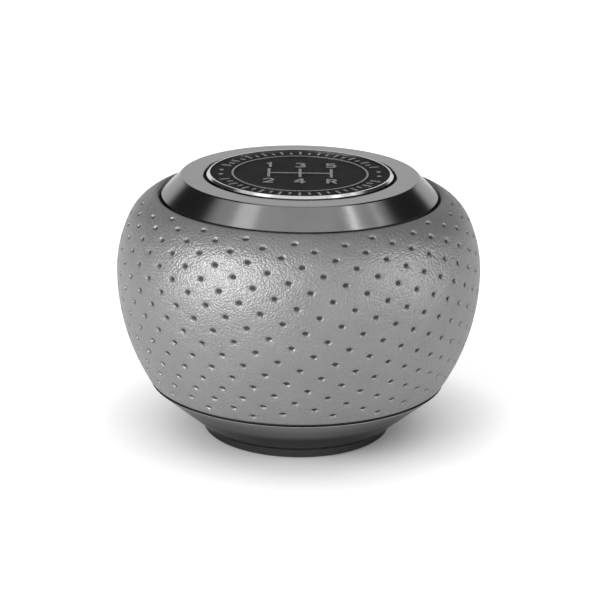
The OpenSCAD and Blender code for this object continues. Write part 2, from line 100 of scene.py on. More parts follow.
def add_node(tree, kind, links=None, **settings):
    """Adds a node; links fill its sockets with other nodes' outputs or with numbers."""
    node = tree.nodes.new(kind)
    for key, value in settings.items():
        setattr(node, key, value)
    for socket, value in (links or {}).items():
        if isinstance(value, bpy.types.NodeSocket):
            tree.links.new(value, node.inputs[socket])
        else:
            node.inputs[socket].default_value = value
    return node


def tone_ramp(tree, share, stops):
    """Turns a share from 0 to 1 into greys; each stop is a place and a tone, the last place being 1."""
    ramp = add_node(tree, "ShaderNodeValToRGB", {0: share})
    elements = ramp.color_ramp.elements
    for k, (place, tone) in enumerate(stops):
        stop = elements[k] if k < 2 else elements.new(1.0)
        stop.position, stop.color = place / stops[-1][0], (*grey(tone), 1)
    return ramp.outputs["Color"]


print("a grey of a half is", grey(0.5))


# %% A class for finishes
class Finish:
    """A material with its nodes, and short ways to add more."""

    def __init__(self, name, base, roughness, metallic=0.0, **fixed):
        self.material = bpy.data.materials.new(name)
        self.material.use_nodes = True
        self.tree = self.material.node_tree
        self.shader = self.tree.nodes["Principled BSDF"]
        self.shader.inputs["Base Color"].default_value = (*base, 1)
        self.shader.inputs["Roughness"].default_value = roughness
        self.shader.inputs["Metallic"].default_value = metallic
        for socket, value in fixed.items():
            self.shader.inputs[socket.replace("_", " ")].default_value = value
        self.place = self.add("ShaderNodeTexCoord").outputs["Object"]

    def add(self, kind, links=None, **settings):
        return add_node(self.tree, kind, links, **settings)

    def set(self, socket, output):
        """Feeds a socket of the shader."""
        self.tree.links.new(output, self.shader.inputs[socket])

    def math(self, operation, a, b):
        return self.add("ShaderNodeMath", {0: a, 1: b}, operation=operation).outputs[0]

    def vector(self, operation, a, b):
        return self.add("ShaderNodeVectorMath", {0: a, 1: b}, operation=operation).outputs[0]

    def length(self, vector):
        return self.add("ShaderNodeVectorMath", {0: vector}, operation="LENGTH").outputs["Value"]

    def along(self, axis):
        """How far a place lies along the X, Y or Z axis."""
        return self.add("ShaderNodeSeparateXYZ", {0: self.place}).outputs[axis]

    def noise(self, size, place=None, detail=2.0):
        """Cloudy noise whose patches are about size metres across."""
        links = {"Vector": place or self.place, "Scale": 1 / size, "Detail": detail}
        return self.add("ShaderNodeTexNoise", links).outputs["Fac"]

    def spread(self, value, low, high, from_low=0.0, from_high=1.0):
        """Maps a pattern, from 0 to 1 unless other limits are given, onto the range low to high."""
        links = {"Value": value, 1: from_low, 2: from_high, 3: low, 4: high}
        return self.add("ShaderNodeMapRange", links).outputs[0]

    def shades(self, value, dark, light, low=0.3, high=0.7):
        """Turns a pattern into colours between dark and light."""
        ramp = self.add("ShaderNodeValToRGB", {"Fac": value})
        first, last = ramp.color_ramp.elements
        first.position, first.color = low, (*dark, 1)
        last.position, last.color = high, (*light, 1)
        return ramp.outputs["Color"]

    def sum(self, a, b, share=1.0):
        """a plus share times b."""
        return self.math("ADD", a, self.math("MULTIPLY", b, share))

    def bump(self, height, depth, strength=1.0):
        """Makes height, from 0 to 1, stand depth metres proud."""
        links = {"Height": height, "Distance": depth, "Strength": strength}
        self.set("Normal", self.add("ShaderNodeBump", links).outputs["Normal"])


print("steps a finish can take:", ", ".join(name for name in vars(Finish) if not name.startswith("_")))

# %% [markdown]
# ## The floor
# The knob stands on a pale sheet that turns white a little way off. More light would do that, but it
# would bleach the knob too. So the sheet glows by itself, and the Light Path node shows that glow to
# the camera in full, to reflections in part, and to nothing else. The glow fades out near the
# foot, where the knob's soft shadow has to be seen. The sheet is clear from below and under the foot,
# so that the knob can be looked at from underneath too.

# %% Sizes and levels of the floor
FLOOR_SIZE = 3.0
FLOOR_DROP = 0.05 * MM
FRONT_LIFT, BACK_LIFT = 0.5, 0.8
FRONT_ENDS, BACK_STARTS = -0.05, 0.15
GLOSSY_SHARE = 0.6
SHADE_R, OPEN_R = 14 * MM, 34 * MM
UNDER_R = 13.2 * MM
UNDER_EDGE = 0.1 * MM
print("the glow grows from", SHADE_R / MM, "to", OPEN_R / MM, "mm from the axis")


# %% Floor
def glow_strength(paint):
    """Light of the floor's own: seen by the camera, in part by glossy rays, and not near the foot."""
    path = paint.add("ShaderNodeLightPath").outputs
    shine = paint.math("MULTIPLY", path["Is Glossy Ray"], GLOSSY_SHARE)
    seen = paint.math("MAXIMUM", path["Is Camera Ray"], shine)
    full = paint.spread(paint.along("Y"), FRONT_LIFT, BACK_LIFT, FRONT_ENDS, BACK_STARTS)
    share = paint.spread(paint.length(paint.place), 0.0, 1.0, SHADE_R, OPEN_R)
    return paint.math("MULTIPLY", seen, paint.math("MULTIPLY", full, share))


def floor_finish():
    paint = Finish("pale_floor", grey(0.8), 0.9)
    paint.shader.inputs["Emission Color"].default_value = (*grey(1), 1)
    paint.set("Emission Strength", glow_strength(paint))
    below = paint.add("ShaderNodeNewGeometry").outputs["Backfacing"]
    under = paint.spread(paint.length(paint.place), 1.0, 0.0, UNDER_R, UNDER_R + UNDER_EDGE)
    clear = paint.add("ShaderNodeBsdfTransparent").outputs[0]
    links = {0: paint.math("MAXIMUM", below, under), 1: paint.shader.outputs[0], 2: clear}
    mixed = paint.add("ShaderNodeMixShader", links).outputs[0]
    paint.tree.links.new(mixed, paint.tree.nodes["Material Output"].inputs["Surface"])
    return paint


def make_floor():
    """A pale sheet just under the knob."""
    bm = bmesh.new()
    bmesh.ops.create_grid(bm, x_segments=1, y_segments=1, size=FLOOR_SIZE)
    mesh = bpy.data.meshes.new("floor")
    bm.to_mesh(mesh)
    bm.free()
    floor = bpy.data.objects.new("floor", mesh)
    bpy.context.scene.collection.objects.link(floor)
    floor.location.z = -FLOOR_DROP
    mesh.materials.append(floor_finish().material)
    return floor


floor = make_floor()
print("floor is", 2 * FLOOR_SIZE, "m wide")

# %% [markdown]
# ## The room round the knob
# Metal shows what stands round it, so the room matters as much as the lamps: the bezel is dark where
# it mirrors a dark wall and grey where it mirrors the ceiling. A world made of a few tones, stacked
# from low to high, is the simplest room there is. Its walls are bright low down, dark above that, and
# end in a grey ceiling, and they are a little darker behind the knob. The Standard view transform
# keeps a colour as it is written, while Blender's default would dull the highlights.

# %% World
FRONT_TONES = ((0.0, 0.82), (0.36, 0.82), (0.48, 0.03), (0.865, 0.03), (0.915, 0.58), (1.3, 0.58))
BACK_TONES = ((0.0, 0.7), (0.36, 0.7), *FRONT_TONES[2:])
SIDE_SHADE = 0.4
ROOM_TURN = 0.15


def make_world():
    """Tones stacked by height; the ceiling comes lower at the sides, by SIDE_SHADE."""
    world = bpy.data.worlds.new("studio")
    bpy.context.scene.world = world
    world.use_nodes = True
    tree = world.node_tree
    way = add_node(tree, "ShaderNodeTexCoord").outputs["Generated"]
    parts = add_node(tree, "ShaderNodeSeparateXYZ", {0: way}).outputs
    side = add_node(tree, "ShaderNodeMath", {0: parts["X"], 1: 2.0}, operation="POWER").outputs[0]
    links = {0: side, 1: SIDE_SHADE, 2: parts["Z"]}
    height = add_node(tree, "ShaderNodeMath", links, operation="MULTIPLY_ADD").outputs[0]
    links = {0: height, 1: FRONT_TONES[-1][0]}
    share = add_node(tree, "ShaderNodeMath", links, operation="DIVIDE").outputs[0]
    links = {"Value": parts["Y"], 1: -ROOM_TURN, 2: ROOM_TURN}
    behind = add_node(tree, "ShaderNodeMapRange", links).outputs[0]
    links = {0: behind, 6: tone_ramp(tree, share, FRONT_TONES), 7: tone_ramp(tree, share, BACK_TONES)}
    mixed = add_node(tree, "ShaderNodeMix", links, data_type="RGBA")
    tree.links.new(mixed.outputs[2], tree.nodes["Background"].inputs["Color"])


make_world()
bpy.context.scene.view_settings.view_transform = "Standard"
print("world has", len(FRONT_TONES), "tones in front and", len(BACK_TONES), "behind")

# %% [markdown]
# ## The lamps
# A product photograph is lit with large soft boxes, because a large light makes a broad, gentle
# highlight. The lamps here are rectangles of light that face the knob. A tall one far on the left
# draws the bright patch on the leather, wide ones at the left, in front and at the right light the
# rest, and three narrow strips higher up draw the bright lines on the bezel's chamfer.

# %% Lamps
KNOB_MIDDLE = Vector((0, 0, 0.02))


def add_lamp(name, azimuth, rise, distance, size, watts):
    """A rectangle of light that faces the knob; azimuth 0 is the front, and 90 the knob's right."""
    data = bpy.data.lights.new(name, "AREA")
    data.shape = "RECTANGLE"
    data.size, data.size_y = size
    data.energy = watts
    lamp = bpy.data.objects.new(name, data)
    bpy.context.scene.collection.objects.link(lamp)
    a, e = radians(azimuth), radians(rise)
    towards = Vector((sin(a) * cos(e), -cos(a) * cos(e), sin(e)))
    lamp.location = KNOB_MIDDLE + towards * distance
    lamp.rotation_mode = "QUATERNION"
    lamp.rotation_quaternion = towards.to_track_quat("Z", "Y")
    return lamp


# Name, azimuth and rise in degrees, distance in metres, width and height in metres, watts
LAMPS = (
    ("key_lamp", -62, 17, 0.6, (0.15, 0.42), 2.1),
    ("left_lamp", -36, 24, 0.7, (0.24, 0.36), 1.9),
    ("low_lamp", -24, 6, 0.6, (0.25, 0.3), 0.4),
    ("front_lamp", 2, 42, 0.7, (0.6, 0.25), 0.5),
    ("side_lamp", 46, 22, 0.7, (0.45, 0.4), 0.8),
    ("right_lamp", 76, 16, 0.7, (0.3, 0.42), 1.6),
    ("top_lamp", 0, 74, 0.7, (0.5, 0.3), 0.06),
    ("left_strip", -76, 60, 0.7, (0.12, 0.3), 0.095),
    ("right_strip", 75.5, 60, 0.7, (0.03, 0.3), 0.07),
    ("thin_strip", 97, 50, 0.7, (0.012, 0.3), 0.015),
)
for lamp in LAMPS:
    add_lamp(*lamp)

# %% [markdown]
# ## The outline of the ball
# The ball isn't a sphere: its outline is a flat curve below the widest line, a tighter one above it and
# a tight shoulder by the bezel. The hide follows this outline, rolls over at both edges and ends out of
# sight. One function turns a distance along the outline into a place and a direction, so the hide can
# be made flat, as a leather worker cuts it, and then be laid round the ball.

# %% Sizes of the ball and the hide, in millimetres
BALL_R = 26.5
EQUATOR_Z = 24.4
LOWER_R = 30.6
SIDE_R = 18.0
SIDE_TURN = radians(25)
SHOULDER_R = 7.5
FOLD_R = 0.6
LEATHER_T = 1.2
HEM_LEG = 0.7
COVER_Z = 8.2
HEM_INNER_R = 19.31
TOP_FOLD_R = 20.9

LOWER_C = Vector((BALL_R - LOWER_R, EQUATOR_Z))
SIDE_C = Vector((BALL_R - SIDE_R, EQUATOR_Z))
SHOULDER_C = SIDE_C + (SIDE_R - SHOULDER_R) * Vector((cos(SIDE_TURN), sin(SIDE_TURN)))
TOP_FOLD_Z = SHOULDER_C.y + sqrt((SHOULDER_R - FOLD_R) ** 2 - (TOP_FOLD_R - SHOULDER_C.x) ** 2)
TOP_FOLD = Vector((TOP_FOLD_R, TOP_FOLD_Z))
TOP_FOLD_ANGLE = atan2(TOP_FOLD_Z - SHOULDER_C.y, TOP_FOLD_R - SHOULDER_C.x)
LAND_Z = TOP_FOLD_Z - HEM_LEG
LOW_FOLD_ANGLE = asin((EQUATOR_Z - COVER_Z - FOLD_R) / (LOWER_R - FOLD_R))
LOW_FOLD = LOWER_C + (LOWER_R - FOLD_R) * Vector((cos(LOW_FOLD_ANGLE), -sin(LOW_FOLD_ANGLE)))

# Lengths along the outline: from the widest line up and down to the folds, and round each fold
COVER_UP = SIDE_R * SIDE_TURN + SHOULDER_R * (TOP_FOLD_ANGLE - SIDE_TURN)
COVER_DOWN = LOWER_R * LOW_FOLD_ANGLE
TOP_ROLL = FOLD_R * (pi - TOP_FOLD_ANGLE)
LOW_ROLL = FOLD_R * (pi / 2 - LOW_FOLD_ANGLE)
HEM_REACH = LOW_FOLD.x - HEM_INNER_R
HALF_TURN = pi * BALL_R
print("hide is", round(2 * HALF_TURN, 1), "x", round(COVER_UP + COVER_DOWN, 1), "mm between its folds")


# %% Place on the outline
def direction(angle):
    return Vector((cos(angle), sin(angle)))


def on_outline(down, depth=0.0):
    """Radius and height, in mm, at a distance down the outline and a depth below the surface."""
    if down > COVER_DOWN + LOW_ROLL:
        return Vector((LOW_FOLD.x - (down - COVER_DOWN - LOW_ROLL), COVER_Z + depth))
    if down > COVER_DOWN:
        return LOW_FOLD + (FOLD_R - depth) * direction(-LOW_FOLD_ANGLE - (down - COVER_DOWN) / FOLD_R)
    if down > 0:
        return LOWER_C + (LOWER_R - depth) * direction(-down / LOWER_R)
    up = -down
    if up < SIDE_R * SIDE_TURN:
        return SIDE_C + (SIDE_R - depth) * direction(up / SIDE_R)
    if up < COVER_UP:
        turn = SIDE_TURN + (up - SIDE_R * SIDE_TURN) / SHOULDER_R
        return SHOULDER_C + (SHOULDER_R - depth) * direction(turn)
    if up < COVER_UP + TOP_ROLL:
        return TOP_FOLD + (FOLD_R - depth) * direction(TOP_FOLD_ANGLE + (up - COVER_UP) / FOLD_R)
    return Vector((TOP_FOLD.x - FOLD_R + depth, TOP_FOLD.y - (up - COVER_UP - TOP_ROLL)))


for name, down in (("widest line", 0), ("upper fold", -COVER_UP), ("lower fold", COVER_DOWN)):
    print(name, "at radius and height", [round(v, 2) for v in on_outline(down)])

# %% [markdown]
# ## The flat hide and its punched holes
# The holes were punched while the leather was flat, in straight rows that slant two ways. So the mesh
# starts as a flat grid whose own rows are the rows of holes: each hole then falls on a block of sixteen
# squares, which is dissolved into one face, made a slightly flat oval and sunk in a few steps. A
# boolean would cut the same holes, but it leaves long thin faces that shade badly.

# %% Sizes of the punched pattern, in millimetres
FALL_STEP, RISE_STEP = 3.36, 2.9
FALL = FALL_STEP * direction(radians(22.6))
RISE = RISE_STEP * direction(radians(-49.5))
ROW_DROOP = 0.0154 / BALL_R
FIRST_HOLE = Vector((1.07, 1.17))
HOLE_MARGIN = 0.8
SEAM_MARGIN = 1.4
SEAM_HALF_GAP = 0.06
CELL = 8


# %% Where the holes lie
def on_hide(i, j):
    """Where a place counted in rows lies on the flat hide: to the right, and down."""
    right = FIRST_HOLE.x + i * FALL.x + j * RISE.x
    down = FIRST_HOLE.y + i * FALL.y + j * RISE.y + ROW_DROOP * right * right
    return Vector((right, down))


def is_punched(place):
    """Whether a hole may lie here: clear of the seam and of both folds."""
    return (
        abs(place.x) < HALF_TURN - SEAM_MARGIN
        and place.y < COVER_DOWN - HOLE_MARGIN
        and -place.y < COVER_UP - HOLE_MARGIN
    )


print("first hole:", [round(v, 2) for v in on_hide(0, 0)], "mm to the right and below the widest line")

# %% Lay out the flat hide
SHEET_UP = COVER_UP + TOP_ROLL + HEM_LEG
SHEET_DOWN = COVER_DOWN + LOW_ROLL + HEM_REACH
SHEET_SIDE = HALF_TURN - SEAM_HALF_GAP
ROW_SPARE = 2
GRID_SPARE = 1.5


def row_range():
    """Lowest and highest row numbers that the sheet's corners reach."""
    across = Matrix(((FALL.x, RISE.x), (FALL.y, RISE.y))).inverted()
    found = []
    for side in (-1, 1):
        right = side * (HALF_TURN + ROW_SPARE)
        for down in (-SHEET_UP - ROW_SPARE, SHEET_DOWN + ROW_SPARE):
            flat = Vector((right, down - ROW_DROOP * right * right)) - FIRST_HOLE
            found.append(across @ flat)
    # The droop bends the rows, so the middle of the sheet is looked at too
    for down in (-SHEET_UP - ROW_SPARE, SHEET_DOWN + ROW_SPARE):
        found.append(across @ (Vector((0, down)) - FIRST_HOLE))
    low = [int(min(p[k] for p in found)) - 1 for k in (0, 1)]
    high = [int(max(p[k] for p in found)) + 2 for k in (0, 1)]
    return low, high


def flat_grid():
    """A grid in rows of holes, moved onto the flat hide: x to the right, y up, z outwards."""
    low, high = row_range()
    counts = [(high[k] - low[k]) * CELL for k in (0, 1)]
    bm = bmesh.new()
    bmesh.ops.create_grid(bm, x_segments=counts[0], y_segments=counts[1], size=1)
    knots = {}
    for v in bm.verts:
        key = tuple(low[k] * CELL + round((v.co[k] + 1) / 2 * counts[k]) for k in (0, 1))
        place = on_hide(key[0] / CELL, key[1] / CELL)
        v.co = (place.x, -place.y, 0)
        knots[key] = v
    far = [v for v in bm.verts if abs(v.co.x) > SHEET_SIDE + GRID_SPARE
           or v.co.y > SHEET_UP + GRID_SPARE or -v.co.y > SHEET_DOWN + GRID_SPARE]
    gone = set(far)
    knots = {key: v for key, v in knots.items() if v not in gone}
    bmesh.ops.delete(bm, geom=far, context="VERTS")
    return bm, knots


hide, knots = flat_grid()
print("flat grid has", len(hide.faces), "faces")


# %% Find the block of faces under each hole
def hole_blocks(knots):
    """The faces under each hole, and the place on the hide of the hole that each corner belongs to."""
    faces, owner = {}, {}
    reach = ceil((HALF_TURN + COVER_UP + COVER_DOWN) / RISE_STEP)
    quarter = CELL // 4
    for i in range(-reach, reach + 1):
        for j in range(-reach, reach + 1):
            place = on_hide(i, j)
            if not is_punched(place):
                continue
            across = range(-quarter, quarter + 1)
            for a in across:
                for b in across:
                    v = knots[i * CELL + a, j * CELL + b]
                    owner[v] = place
                    if max(abs(a), abs(b)) < quarter:
                        faces.update(dict.fromkeys(v.link_faces))
    return list(faces), owner


block_faces, owner = hole_blocks(knots)
print("holes:", len(block_faces) // (CELL // 2) ** 2)


# %% Cut the hide to size, and cut lines where it will bend sharply
def cut(bm, place, normal, clear=False):
    """A straight cut across the flat hide; with clear, what lies beyond it is removed."""
    bmesh.ops.bisect_plane(bm, geom=bm.verts[:] + bm.edges[:] + bm.faces[:], dist=1e-5,
                           plane_co=(*place, 0), plane_no=(*normal, 0), clear_outer=clear)


SEAM_ROLL = 0.35
ROLL_STEPS = 6
SEAM_STEPS = 4


def trim_hide(bm):
    """Cuts the sheet's four sides, and lines across it where the folds and the seam's rolls will bend."""
    cut(bm, (0, SHEET_UP), (0, 1), clear=True)
    cut(bm, (0, -SHEET_DOWN), (0, -1), clear=True)
    for k in range(ROLL_STEPS + 1):
        cut(bm, (0, COVER_UP + TOP_ROLL * k / ROLL_STEPS), (0, 1))
        cut(bm, (0, -COVER_DOWN - LOW_ROLL * k / ROLL_STEPS), (0, -1))
    for side in (-1, 1):
        cut(bm, (side * SHEET_SIDE, 0), (side, 0), clear=True)
        for k in range(1, SEAM_STEPS + 1):
            inward = SEAM_ROLL * (1 - cos(pi / 2 * k / SEAM_STEPS))
            cut(bm, (side * (SHEET_SIDE - inward), 0), (side, 0))


trim_hide(hide)
print("trimmed hide has", len(hide.faces), "faces")

# %% Punch the holes
RIM_R = 0.66
HOLE_SQUASH = 0.8
# Each step: how far inside the step before, and how far below it, in millimetres
WALL_STEPS = ((0.08, 0.02), (0.07, 0.05), (0.06, 0.07), (0.06, 0.08))
FLOOR_STEP = (0.09, 0.05)
HOLE_FACE = 1


def sink(bm, pits, inset, down):
    bmesh.ops.inset_individual(bm, faces=pits, thickness=inset, depth=-down, use_even_offset=True)


def punch(bm, faces, owner):
    """Rounds each block and sinks it step by step, so that the rim rolls into the hole."""
    pits = bmesh.ops.dissolve_faces(bm, faces=faces, use_verts=False)["region"]
    for pit in pits:
        place = next(owner[v] for v in pit.verts if v in owner)
        middle = Vector((place.x, -place.y, 0))
        squeeze = BALL_R / on_outline(place.y).x
        for v in pit.verts:
            away = v.co - middle
            away.x /= squeeze
            away = away.normalized() * RIM_R
            away.x *= squeeze
            away.y *= HOLE_SQUASH
            v.co = middle + away
    for step in WALL_STEPS:
        sink(bm, pits, *step)
    for f in pits:
        f.material_index = HOLE_FACE
    sink(bm, pits, *FLOOR_STEP)
    return pits


pits = punch(hide, block_faces, owner)
print("hide with holes has", len(hide.faces), "faces; lowest pit at",
      round(min(v.co.z for v in pits[0].verts), 2), "mm")

# %% [markdown]
# ## Laying the hide round the ball
# The flat hide is now bent: its width becomes an angle round the knob, and its height a distance along
# the outline. Its two ends roll down towards each other and meet in a fine groove at the back, where
# the real hide has its seam. Last comes the inner side, so that the hide is one closed piece.


# %% Wrap the hide
def end_roll(x):
    """How far the surface drops near the seam."""
    left = max(0.0, SEAM_ROLL - (SHEET_SIDE - abs(x)))
    return SEAM_ROLL - sqrt(max(0.0, SEAM_ROLL**2 - left**2))


def wrap(co):
    """Moves a place on the flat hide, in mm, to the ball, in metres."""
    r, z = on_outline(-co.y, -co.z + end_roll(co.x))
    turn = co.x / BALL_R
    return Vector((r * sin(turn), -r * cos(turn), z)) * MM


NEAR = 1e-3


def end_edges(bm, x):
    """The open edges at one end of the flat hide."""
    return [e for e in bm.edges if e.is_boundary and all(abs(v.co.x - x) < NEAR for v in e.verts)]


def wrap_hide(bm):
    """Lays the sheet round the ball and bridges the groove between its two ends."""
    ends = end_edges(bm, -SHEET_SIDE) + end_edges(bm, SHEET_SIDE)
    for v in bm.verts:
        v.co = wrap(v.co)
    return bmesh.ops.bridge_loops(bm, edges=ends)["faces"]


groove = wrap_hide(hide)
print("the seam's groove has", len(groove), "faces")

# %% [markdown]
# A sheet with one side has no thickness: its folds would show an empty inside. So the open rim at the
# top is extruded down the inner side of the leather, ring by ring, and joined to the rim at the
# bottom. Solidify could do that, but it would also line each of the holes, which nobody can see.


# %% Give the hide its inner side
RIM_REACH = 0.02
INNER_STEPS = 10


def open_rim(bm, z, unit=MM):
    """All open edges at a height in mm; unit is the size of a millimetre in the mesh."""
    return [e for e in bm.edges
            if e.is_boundary and all(abs(v.co.z / unit - z) < RIM_REACH for v in e.verts)]


def grow(bm, edges, r, z, unit=MM):
    """Extrudes a ring of edges to another radius and height, in mm."""
    made = bmesh.ops.extrude_edge_only(bm, edges=edges)["geom"]
    for v in (g for g in made if isinstance(g, bmesh.types.BMVert)):
        flat = Vector((v.co.x, v.co.y)).normalized() * r * unit
        v.co = (flat.x, flat.y, z * unit)
    return [g for g in made if isinstance(g, bmesh.types.BMEdge)]


def line_hide(bm):
    """Extrudes the upper rim down the hide's inner side and joins it to the lower rim."""
    ring = open_rim(bm, LAND_Z)
    low = open_rim(bm, COVER_Z)
    inner_top = (LAND_Z - SHOULDER_C.y) / (SHOULDER_R - LEATHER_T)
    start = -(SIDE_R * SIDE_TURN + SHOULDER_R * (asin(inner_top) - SIDE_TURN))
    end = LOWER_R * asin((EQUATOR_Z - COVER_Z - LEATHER_T) / (LOWER_R - LEATHER_T))
    for k in range(INNER_STEPS + 1):
        ring = grow(bm, ring, *on_outline(start + (end - start) * k / INNER_STEPS, LEATHER_T))
    ring = grow(bm, ring, HEM_INNER_R, COVER_Z + LEATHER_T)
    return bmesh.ops.bridge_loops(bm, edges=ring + low)["faces"]


hem = line_hide(hide)
print("the last ring of the inner side has", len(hem), "faces; open edges left:",
      sum(e.is_boundary for e in hide.edges))


# %% Make a bmesh a piece of the knob
SHARP_ANGLE = radians(35)


def finish_mesh(bm, name, finishes, replaced):
    """Turns a bmesh in metres into a piece that rides on the knob in the place of a CAD node."""
    for f in bm.faces:
        f.smooth = True
    for e in bm.edges:
        if len(e.link_faces) == 2 and e.calc_face_angle(0) > SHARP_ANGLE:
            e.smooth = False
    mesh = bpy.data.meshes.new(name)
    bm.to_mesh(mesh)
    bm.free()
    for finish in finishes:
        mesh.materials.append(finish.material)
    piece = bpy.data.objects.new(name, mesh)
    bpy.context.scene.collection.objects.link(piece)
    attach(piece, "root")
    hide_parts(replaced)
    triangles = sum(len(p.vertices) - 2 for p in mesh.polygons)
    print(name, "has", len(mesh.polygons), "faces and", triangles, "triangles")
    return piece


# %% [markdown]
# ## The leather's finish
# This is a corrected leather: its grain is pressed in and its coat is a satin one. Close up, the grain
# is a field of small round pebbles, and Voronoi cells with a smooth edge look like that once a little
# noise bends them. The grain is a bump, not a displacement, because it is only a few hundredths of a
# millimetre deep. The colour stays almost even, with soft clouds of tone, and the creases between the
# pebbles are painted a little darker, a painted shade. The floors of the holes have a finish of their
# own: the black pad and the raw edge of the leather.

# %% Finishes for the hide
PEBBLES_PER_M = 3300.0
WARPS_PER_M = 1100.0
WARP_REACH = 0.18 * MM
FINE_GRAIN = 0.18 * MM
SOFT_GRAIN = 1.2 * MM
GRAIN_DEPTH = 0.058 * MM
CLOUD_SIZE = 6 * MM


def pebbles(hide):
    """Round cells, bent a little by noise, that stand up from 0 to 1."""
    links = {"Vector": hide.place, "Scale": WARPS_PER_M, "Detail": 1.0}
    warp = hide.add("ShaderNodeTexNoise", links).outputs["Color"]
    place = hide.vector("ADD", hide.place, hide.vector("MULTIPLY", warp, grey(WARP_REACH)))
    links = {"Vector": place, "Scale": PEBBLES_PER_M, "Smoothness": 0.45}
    cells = hide.add("ShaderNodeTexVoronoi", links, feature="SMOOTH_F1").outputs["Distance"]
    return hide.spread(cells, 1, 0, 0.1, 0.75)


def leather_finish():
    """Grey corrected leather: fine pebbled grain, a satin coat, soft clouds of tone, and painted shade in
    the creases.
    """
    hide = Finish("grey_leather", grey(0.12), 0.38, IOR=1.8, Specular_IOR_Level=0.9)
    pebble = pebbles(hide)
    fine = hide.noise(FINE_GRAIN, detail=3)
    soft = hide.noise(SOFT_GRAIN)
    height = hide.sum(hide.sum(pebble, fine, 0.7), soft, 0.15)
    hide.bump(height, GRAIN_DEPTH, 0.9)
    clouds = hide.noise(CLOUD_SIZE, detail=4)
    # Soft clouds of tone, plus painted shade: the creases between the pebbles are a little darker.
    clouds_and_crease_shade = hide.sum(clouds, pebble, 0.12)
    hide.set("Base Color", hide.shades(clouds_and_crease_shade, grey(0.107), grey(0.133), 0.35, 0.75))
    hide.set("Roughness", hide.spread(fine, 0.33, 0.43))
    return hide


def hole_finish():
    """The raw cut edge and the black pad at the bottom of a hole."""
    dark = Finish("hole_floor", grey(0.03), 0.8)
    fluff = dark.noise(0.2 * MM, detail=3)
    dark.set("Base Color", dark.shades(fluff, grey(0.02), grey(0.05)))
    dark.bump(fluff, 0.03 * MM, 0.6)
    return dark


bmesh.ops.recalc_face_normals(hide, faces=hide.faces[:])
finish_mesh(hide, "leather_hide", [leather_finish(), hole_finish()], "leather_cover")

# %% [markdown]
# ## Turned metal
# The bezel and the collar were turned on a lathe and then anodised: a satin metal with very fine rings
# round the axis. The rings stretch a highlight across them, which the shader's anisotropy does when it
# is given a tangent that runs round the axis. The shapes are plain, so the CAD solids stay as they are
# and only their finish is new.


# %% A helper that dresses CAD nodes
def dress(finish, *nodes):
    """Gives CAD nodes their finish."""
    for node in nodes:
        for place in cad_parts[node].material_slots:
            place.material = finish.material
    print(finish.material.name, "on", ", ".join(nodes))


# %% Finishes for turned metal
def ring_pattern(metal, size):
    """Fine rings round the axis: noise that changes only with the radius and the height."""
    radius = metal.length(metal.vector("MULTIPLY", metal.place, (1, 1, 0)))
    place = metal.add("ShaderNodeCombineXYZ", {"X": radius, "Y": metal.along("Z")}).outputs[0]
    return metal.noise(size, place, detail=3), radius


def turned_finish(name, base, roughness, stretch=0.5, ring=0.12 * MM, depth=0.0006 * MM,
                  painted_reflection_levels=(), edge=1.0):
    """A satin finish. Painted reflection levels, if given, are heights in mm and how light the metal's
    colour is painted there, a painted reflection rather than the metal's own tone; edge is how much of the
    light it gives back at a slant."""
    metal = Finish(name, grey(base), roughness, 1.0, Anisotropic=stretch, Specular_Tint=(*grey(edge), 1))
    metal.set("Tangent", metal.add("ShaderNodeTangent", direction_type="RADIAL", axis="Z").outputs[0])
    rings, radius = ring_pattern(metal, ring)
    clouds = metal.noise(4 * MM, detail=3)
    blast = metal.noise(0.18 * MM)
    tone = metal.shades(metal.sum(clouds, rings, 0.3), grey(base * 0.94), grey(base * 1.05))
    # Painted reflection: the colour is made darker or lighter at the listed heights.
    if painted_reflection_levels:
        share = metal.spread(metal.along("Z"), 0, 1, 0, painted_reflection_levels[-1][0] * MM)
        tone = metal.vector("MULTIPLY", tone, tone_ramp(metal.tree, share, painted_reflection_levels))
    metal.set("Base Color", tone)
    worn = metal.sum(blast, rings, 0.6)
    metal.set("Roughness", metal.spread(worn, roughness - 0.03, roughness + 0.04, 0.4, 1.2))
    metal.bump(metal.sum(rings, blast, 0.12), depth, 0.8)
    return metal


print("a turned finish mixes fine rings, soft clouds and a blasted grain")

# %% [markdown]
# The collar faces down, so it mirrors the floor and should be even in tone. In the photograph its
# lower half is dark, because something dark lay there in the studio. A real dark card would have to
# lie in front of the knob, in the camera's view, so that dark reflection is painted into the collar's
# colour instead, darker and lighter at a few heights: a painted reflection.

# %% Dress the bezel and the collar


dress(turned_finish("satin_bezel_metal", 0.3, 0.14), "top_bezel")
# Painted reflection in the collar: heights in mm and how light its colour is painted there, dark in the
# lower half and light at the top.
COLLAR_PAINTED_REFLECTION = (
    (0, 0.26), (1.0, 0.28), (1.5, 0.4), (2.0, 0.42), (2.5, 0.25), (3.9, 0.15),
    (4.35, 0.24), (4.8, 0.48), (5.2, 0.68), (6.0, 0.68), (6.5, 0.82), (7.0, 1.0),
)
dress(turned_finish("gunmetal", 0.27, 0.24, painted_reflection_levels=COLLAR_PAINTED_REFLECTION, edge=0.55), "lower_collar")

# %% [markdown]
# ## The badge
# The badge is a struck metal disc: its lines stand up and its field is filled with dark enamel. The rim
# was polished after filling, so it is brighter than the lines. Both are one piece of metal, so one
# finish serves, with a step in its colour at the radius where the rim begins.

# %% Finishes for the badge
RIM_STARTS = 12.9 * MM
RIM_BLEND = 0.1 * MM


